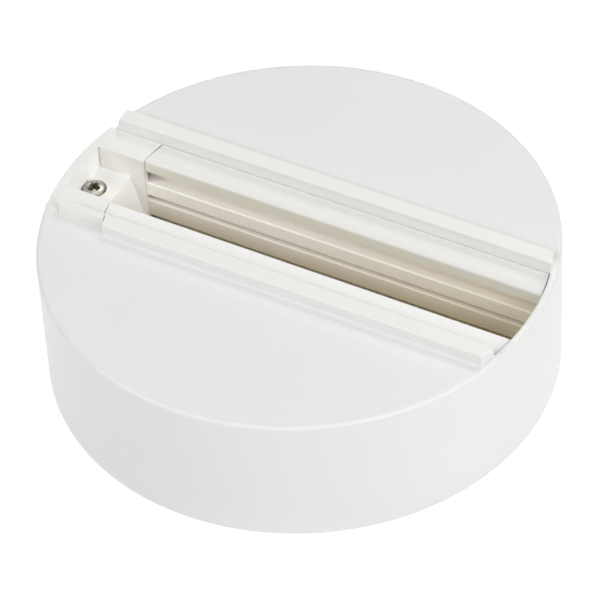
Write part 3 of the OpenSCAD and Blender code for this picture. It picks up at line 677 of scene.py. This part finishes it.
endPiece = {"half": 15.75, "nearHalf": 16.35, "top": 36.4, "plate": 2, "edge": 0.4, "round": 0.15,
            "span": (-70, -20), "skirtX": (-70, -55), "skirtZ": 25, "wall": 1.5, "tubFloor": 2, "tubTop": 35.9,
            "recess": 8, "recessEnd": -62.2, "floor": 29.6, "rampTop": -53.3, "rampFoot": (-50, 17.3),
            "tubPast": 2, "recessPast": 4, "footX": (-59.5, -52.5), "footY": (14.4, 15.65), "footZ": (32, 35.4),
            "gapRadius": 83, "gapCentre": 33.556, "ridgeIn": 15.85, "ridgeOut": 17.8, "ridgeTop": 40.1,
            "ridgeLow": 35, "ridgeEnd": 61.1, "stepX": (-70, -40), "stepY": (-25, 0), "cornerX": -50,
            "cornerRound": 1.5, "ridgeRound": 0.2, "jointGap": 0.3, "screwX": -59.3, "bossRadius": 3.55,
            "bossLow": 21.8, "bossRoot": 0.5, "hole": 2, "seat": 3.25, "seatZ": 28.4, "seatPast": 0.3,
            "cornerLine": (0.3, 0.35), "cornerLineTop": 36.1, "trim": 0.002}
sturdy = "MANIFOLD"  # takes the softened mesh, which crosses itself in places; the exact solver can lose it


def endRidge():
    # the near ridge's first stretch, up to the joint
    e = endPiece
    ridge = slab("endRidge", e["span"], (-e["ridgeOut"], -e["ridgeIn"]), (e["ridgeLow"], e["ridgeTop"]))
    keepInside(ridge, drum("round", cover["radius"] - 2 * hair, (5, above)))
    step = slab("ridgeStep", e["stepX"], e["stepY"], (cover["height"], over))
    cut(ridge, cut(step, drum("ridgeRing", e["ridgeEnd"], (30, above))))
    gap, end = e["jointGap"], e["span"][1]
    low, high = cover["jointSpan"]
    joint = [(-jointAt(low) - gap, -low), (-jointAt(high) - gap, -high), (end, -high), (end, -low)]
    cut(ridge, traced("jointCut", joint, "xy", (30, over)))
    corner = lambda p, q: (abs(p.y + e["ridgeOut"]) + abs(q.y + e["ridgeOut"]) < snap and abs(p.x - q.x) < snap
                           and p.x < e["cornerX"] and max(p.z, q.z) > e["ridgeTop"] - snap)
    roundEdges(ridge, corner, e["cornerRound"], 6)
    return soften(ridge, e["ridgeRound"], 3)


def buildEndPiece():
    e = endPiece
    recess, recessEnd, floor, top, spot = e["recess"], e["recessEnd"], e["floor"], e["top"], (e["screwX"], 0)
    blank = drum("blank", cover["radius"], (5, top))
    roundEdges(blank, atHeight(top), e["edge"], 4)
    body = twin(blank, "endPiece")
    keepInside(body, slab("plateSpan", e["span"], (-e["nearHalf"], e["half"]), (top - e["plate"], over)))
    skirt = twin(blank, "skirt")
    keepInside(skirt, slab("skirtSpan", e["skirtX"], (-e["half"], e["half"]), (e["skirtZ"], over)))
    cut(skirt, drum("insideWall", cover["radius"] - cover["wall"], (0, top - 1)))
    join(body, skirt)
    # tub round the recess and the ramp
    out, (footX, footZ) = e["wall"], e["rampFoot"]
    tubLow, tubEnd, tubPast = floor - e["tubFloor"], recessEnd - out, footX + e["tubPast"]
    tub = [(tubEnd, e["tubTop"]), (tubEnd, tubLow), (e["rampTop"] - out / 2, tubLow),
           (footX - out / 2, footZ - e["tubFloor"]), (tubPast, footZ - e["tubFloor"]), (tubPast, e["tubTop"])]
    shell = traced("tub", tub, "xz", (-recess - out, recess + out))
    keepInside(shell, twin(blank, "tubEnd"))
    join(body, shell)
    for side in bothSides:
        ys = sorted(side * y for y in e["footY"])
        join(body, slab("foot", e["footX"], ys, e["footZ"]))
    cut(body, drum("wiredGap", e["gapRadius"], (0, above), (e["gapCentre"], 0), 512))
    join(body, drum("screwBoss", e["bossRadius"], (e["bossLow"], floor - e["bossRoot"]), spot, 64))
    recessPast = footX + e["recessPast"]
    profile = [(recessEnd, over), (recessEnd, floor), (e["rampTop"], floor), (footX, footZ),
               (recessPast, footZ), (recessPast, over)]
    cut(body, traced("recess", profile, "xz", (-recess, recess)))
    cut(body, drum("screwHole", e["hole"], (10, 40), spot, 48))
    bpy.data.objects.remove(blank, do_unlink=True)
    soften(body, e["round"], 3)
    # the screw's seat and the line in the recess's corner keep a sharp edge
    wallFace = recessEnd + hair
    seat = drum("screwSeat", e["seat"], (e["seatZ"], floor + e["seatPast"]), spot, 64)
    cut(body, keepInside(seat, slab("seatSpan", (wallFace, -50), (-5, 5), (20, over)), sturdy), sturdy)
    wide, deep = e["cornerLine"]
    cut(body, slab("cornerLine", (wallFace, recessEnd + wide), (recess - 1, recess + deep),
                   (floor + hair, e["cornerLineTop"])), sturdy)
    # trims what the softening lifts at the plate's corners
    keepInside(body, slab("plateTop", e["span"], (-20, 20), (10, top + e["trim"])), sturdy)
    join(body, endRidge(), sturdy)
    soften(body, 0)
    return dress(body, finishes["endWhite"], "feed_end_piece")


buildEndPiece()
print("end piece done")


# retaining screw

screw = {"x": -59.3, "low": 11.8, "seatZ": 28.4, "shank": 1.7, "tip": 0.5, "threadStart": 12.2, "threadEnd": 24,
         "pitch": 0.6, "threadDepth": 0.22, "neck": 24.3, "head": 3.05, "headEdge": 0.15, "wall": 1.1,
         "dome": 1.1, "domeSteps": 8, "cross": 2.45, "arm": 1.75, "crossDepth": 1.9, "crossTurn": 78,
         "crossTaper": (0.35, 0.7, 1), "sides": 72, "round": 0.05}


def crossBit(top):
    # driver bit of a cross recess: two blades that narrow downwards
    c = screw
    depth, low = c["crossDepth"], top - c["crossDepth"]
    blades = []
    for quarter in (0, 90):
        freshStart()
        bpy.ops.mesh.primitive_cube_add(size=1, location=(0, 0, (top - depth / 2 + 0.5) * mm),
                                        scale=(2 * c["cross"] * mm, c["arm"] * mm, (depth + 1) * mm))
        blade = settle("bit")
        edgesWhere(blade, lambda p, q: max(p.z, q.z) < low + 0.1)
        bpy.ops.transform.resize(value=c["crossTaper"])
        bpy.ops.mesh.select_all(action="SELECT")
        angle = math.radians(c["crossTurn"] + quarter)
        bpy.ops.transform.rotate(value=-angle, orient_axis="Z", center_override=(0, 0, 0))
        bpy.ops.transform.translate(value=(c["x"] * mm, 0, 0))
        bpy.ops.object.mode_set(mode="OBJECT")
        blades.append(blade)
    return join(*blades)


def domeProfile():
    # half outline of the pan head, from its edge to the middle of its crown
    c = screw
    angles = [math.pi / 2 * k / c["domeSteps"] for k in range(c["domeSteps"] + 1)]
    return [(c["head"] * math.cos(a), c["seatZ"] + c["wall"] + c["dome"] * math.sin(a)) for a in angles]


def threadProfile():
    # saw line of the thread, from its lower to its upper end
    c = screw
    start, pitch, radius = c["threadStart"], c["pitch"], c["shank"]
    root = radius - c["threadDepth"]
    line = []
    for k in range(int((c["threadEnd"] - start) / pitch)):
        z = start + k * pitch
        line += [(root, z + 0.1 * pitch), (radius, z + 0.5 * pitch), (root, z + 0.9 * pitch)]
    return line


def buildScrew():
    c = screw
    middle = 0.0001  # mm from the axis, near enough for the weld to close it
    line = [(middle, c["low"]), (c["shank"] - c["tip"], c["low"])] + threadProfile()
    line += [(c["shank"], c["neck"]), (c["shank"], c["seatZ"]), (c["head"] - c["headEdge"], c["seatZ"]),
             (c["head"], c["seatZ"] + c["headEdge"])] + domeProfile()
    line[-1] = (middle, line[-1][1])
    body = turned("retainingScrew", line, (c["x"], 0), c["sides"])
    cut(body, crossBit(c["seatZ"] + c["wall"] + c["dome"]))
    soften(body, c["round"])
    return dress(body, finishes["headSteel"], "retaining_screw")


buildScrew()
print("retaining screw done")


# hidden pieces: copies of the frame's solids, merged, with rounded edges and even shading

hidden = {  # finish, rounding of the edges and the slot's name
    "mounting_strap": ("zincPlate", 0.22, "zinc_steel"), "screw_pillar": ("zincPlate", 0.2, "zinc_steel"),
    "terminal_block": ("blockGrey", 0.2, "grey_nylon"), "terminal_tubes": ("turnedBrass", 0.08, "brass"),
    "terminal_screws": ("screwSteel", 0.08, "zinc_steel"), "block_screws": ("screwSteel", 0.1, "zinc_steel"),
    "track_screws": ("screwSteel", 0.1, "zinc_steel"), "earth_screw": ("screwSteel", 0.1, "zinc_steel"),
    "earth_lug": ("tinnedCopper", 0.1, "tinned_copper"), "earth_strip": ("turnedBrass", 0.1, "brass"),
    "conductor_line_1": ("barCopper", 0.12, "copper"), "conductor_line_2": ("barCopper", 0.12, "copper"),
    "conductor_line_3": ("barCopper", 0.12, "copper"), "conductor_neutral": ("barCopper", 0.12, "copper"),
    "lead_line_1": ("sleeveBrown", 0, "brown_sleeve"), "lead_line_2": ("sleeveBlack", 0, "black_sleeve"),
    "lead_line_3": ("sleeveGrey", 0, "grey_sleeve"), "lead_neutral": ("sleeveBlue", 0, "blue_sleeve"),
    "lead_earth": ("sleeveEarth", 0, "green_yellow_sleeve"),
    "strap_earth_lead": ("sleeveEarth", 0, "green_yellow_sleeve")}
copied = {"flat": 0.5, "skew": 60, "roundAngle": 50, "smooth": 35, "leadSmooth": 60}


def camelName(node):
    first, *rest = node.split("_")
    return first + "".join(word.capitalize() for word in rest)


def fromNode(node):
    copy = pick(twin(frame["nodes"][node], camelName(node)))
    bpy.ops.object.parent_clear(type="CLEAR_KEEP_TRANSFORM")
    bpy.ops.object.make_single_user(object=False, obdata=True)
    bpy.ops.object.transform_apply(location=True, rotation=True, scale=True)
    bpy.ops.object.mode_set(mode="EDIT")
    weld(merge["copied"])
    bpy.ops.mesh.tris_convert_to_quads(face_threshold=math.radians(copied["flat"]),
                                       shape_threshold=math.radians(copied["skew"]))
    bpy.ops.object.mode_set(mode="OBJECT")
    return copy


for node, (finish, rounding, slot) in hidden.items():
    piece = fromNode(node)
    if rounding:
        soften(piece, rounding, angle=copied["roundAngle"], smooth=copied["smooth"])
    else:
        bpy.ops.object.shade_smooth_by_angle(angle=math.radians(copied["leadSmooth"]))
    dress(piece, finishes[finish], node)
print("hidden pieces done:", len(hidden))


# floor, light and camera

studio = {"floorSize": 6, "floorLow": 0.2, "floorWhite": 0.8, "floorGrey": 0.35, "floorBounce": 0.8,
          "worldLight": 0.15, "lampSize": 1, "lampDistance": 2}
white = (1, 1, 1, 1)


def either(tree, *sources):
    # 1 where any of the sources is 1
    result = sources[0]
    for source in sources[1:]:
        step = tree.nodes.new("ShaderNodeMath")
        step.operation = "MAXIMUM"
        tree.links.new(result, step.inputs[0])
        tree.links.new(source, step.inputs[1])
        result = step.outputs[0]
    return result


def choose(tree, amount, first, second):
    # the first shader where the amount is 0, the second where it is 1
    mix = tree.nodes.new("ShaderNodeMixShader")
    for socket, source in zip(mix.inputs, (amount, first, second)):
        tree.links.new(source, socket)
    return mix.outputs[0]


def backdropMaterial():
    # shows white to the camera and in reflections, and lights the object as pale paper would
    paper, tree, shader, place = newFinish("backdropWhite")
    tree.nodes.remove(shader)
    tree.nodes.remove(place)
    matt = tree.nodes.new("ShaderNodeBsdfDiffuse")
    matt.inputs["Color"].default_value = (*[studio["floorGrey"]] * 3, 1)
    glow = tree.nodes.new("ShaderNodeEmission")
    glow.inputs["Color"].default_value = white
    glow.inputs["Strength"].default_value = studio["floorWhite"]
    both = tree.nodes.new("ShaderNodeAddShader")
    tree.links.new(matt.outputs[0], both.inputs[0])
    tree.links.new(glow.outputs[0], both.inputs[1])
    plain = tree.nodes.new("ShaderNodeBsdfDiffuse")
    plain.inputs["Color"].default_value = (*[studio["floorBounce"]] * 3, 1)
    rays = tree.nodes.new("ShaderNodeLightPath").outputs
    upper = choose(tree, either(tree, rays["Is Camera Ray"], rays["Is Glossy Ray"]),
                   plain.outputs[0], both.outputs[0])
    clear = tree.nodes.new("ShaderNodeBsdfTransparent")  # seen from below, the floor is see-through
    sideOf = tree.nodes.new("ShaderNodeNewGeometry")
    through = choose(tree, sideOf.outputs["Backfacing"], upper, clear.outputs[0])
    tree.links.new(through, tree.nodes["Material Output"].inputs["Surface"])
    return paper


freshStart()
bpy.ops.mesh.primitive_plane_add(size=studio["floorSize"], location=(0, 0, -studio["floorLow"] * mm))
ground = settle("floor")
ground.data.materials.append(backdropMaterial())
ground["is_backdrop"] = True

# the world lights a little, and is plain white where it is seen directly, through glass or mirrored
world = bpy.data.worlds.new("studioWorld")
scene.world = world
world.use_nodes = True
sky = world.node_tree
background = sky.nodes["Background"]
background.inputs["Color"].default_value = white
background.inputs["Strength"].default_value = studio["worldLight"]
seen = sky.nodes.new("ShaderNodeBackground")
seen.inputs["Color"].default_value = white
seen.inputs["Strength"].default_value = 1
skyRays = sky.nodes.new("ShaderNodeLightPath").outputs
skySeen = either(sky, skyRays["Is Camera Ray"], skyRays["Is Transmission Ray"], skyRays["Is Glossy Ray"])
skyShader = choose(sky, skySeen, background.outputs[0], seen.outputs[0])
sky.links.new(skyShader, sky.nodes["World Output"].inputs["Surface"])

lamps = {  # direction in degrees round the object and above the floor, and the share of the light
    "softboxRight": {"azimuth": 90, "height": 18, "share": 0.305},
    "softboxKey": {"azimuth": 60, "height": 35, "share": 0.255},
    "softboxFront": {"azimuth": 0, "height": 55, "share": 0.185},
    "softboxLeft": {"azimuth": -45, "height": 35, "share": 0.315},
    "softboxBack": {"azimuth": 180, "height": 50, "share": 0.26},
}


def direction(azimuth, height):
    # towards a place round the object, from the angles in radians
    return Vector((math.sin(azimuth) * math.cos(height), -math.cos(azimuth) * math.cos(height), math.sin(height)))


for name, lamp in lamps.items():
    light = bpy.data.lights.new(name, "AREA")
    light.shape = "DISK"
    light.size = studio["lampSize"]
    light.energy = lamp["share"] * (math.pi * studio["lampDistance"]) ** 2
    holder = bpy.data.objects.new(name, light)
    scene.collection.objects.link(holder)
    towards = direction(math.radians(lamp["azimuth"]), math.radians(lamp["height"]))
    holder.location = towards * studio["lampDistance"]
    holder.rotation_mode = "QUATERNION"
    holder.rotation_quaternion = (-towards).to_track_quat("-Z", "Y")

view = {"lens": 228.88, "sensor": 36, "clip": (0.05, 20), "distance": 0.94139, "azimuth": 30.5,
        "elevation": 43.624, "down": 44.564, "aside": 0.0486, "roll": -3.3746, "target": (0, 0, 0.037)}
eye = bpy.data.cameras.new("photoView")
camera = bpy.data.objects.new("photoView", eye)
scene.collection.objects.link(camera)
eye.lens = view["lens"]
eye.sensor_width = view["sensor"]
eye.clip_start, eye.clip_end = view["clip"]
turn, lean = math.radians(view["azimuth"]), math.radians(view["elevation"])
stand = Vector(view["target"]) + view["distance"] * direction(turn, lean)
aimed = (Matrix.Rotation(turn + math.radians(view["aside"]), 4, "Z")
         @ Matrix.Rotation(math.radians(90 - view["down"]), 4, "X")
         @ Matrix.Rotation(math.radians(view["roll"]), 4, "Z"))
camera.matrix_world = Matrix.Translation(stand) @ aimed
scene.camera = camera
scene.view_settings.view_transform = "Standard"
print("studio done")

sizes = {"cad": cadBox, "visual": [list(corner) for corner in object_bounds()]}
